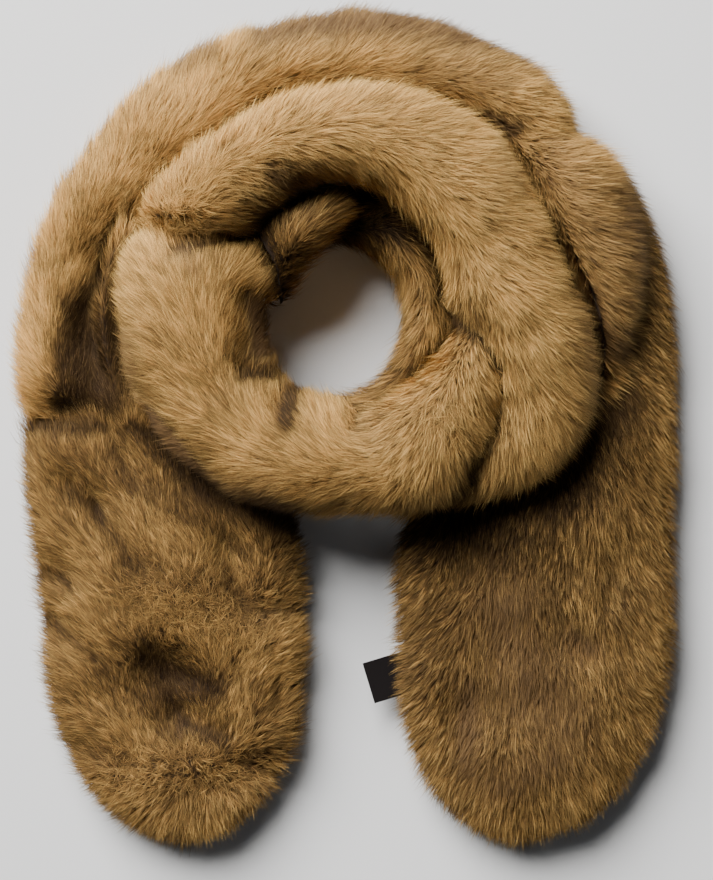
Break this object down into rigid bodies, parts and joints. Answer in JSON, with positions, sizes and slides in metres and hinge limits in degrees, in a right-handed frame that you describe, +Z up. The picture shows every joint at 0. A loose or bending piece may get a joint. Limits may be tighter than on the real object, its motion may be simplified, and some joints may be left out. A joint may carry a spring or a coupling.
{
  "type": "fur collar wrap",
  "caption": "Long faux fur scarf with rounded ends, lying flat and wound into a thick collar ring round an open neck hole, with both tails side by side.",
  "frame": {"origin": "under the middle of the whole scarf, on the surface that it lies on", "axes": "+Z up from the surface, +Y from the tails to the collar ring, +X to the right seen from above with the tails toward the viewer"},
  "size_m": [0.4224, 0.5236, 0.1112],
  "materials": {
    "fur": "long pile, soft sheen",
    "label": "woven tape, matt"
  },
  "bodies": {
    "root": {"front_coil": "fur", "back_coil": "fur", "middle_coil": "fur", "outer_wrap": "fur", "back_wrap": "fur", "low_coil": "fur", "left_tail_upper_panel": "fur", "left_tail_under_panel": "fur", "right_tail_upper_panel": "fur", "right_tail_under_panel": "fur", "label_tab": "label"}
  },
  "joints": []
}
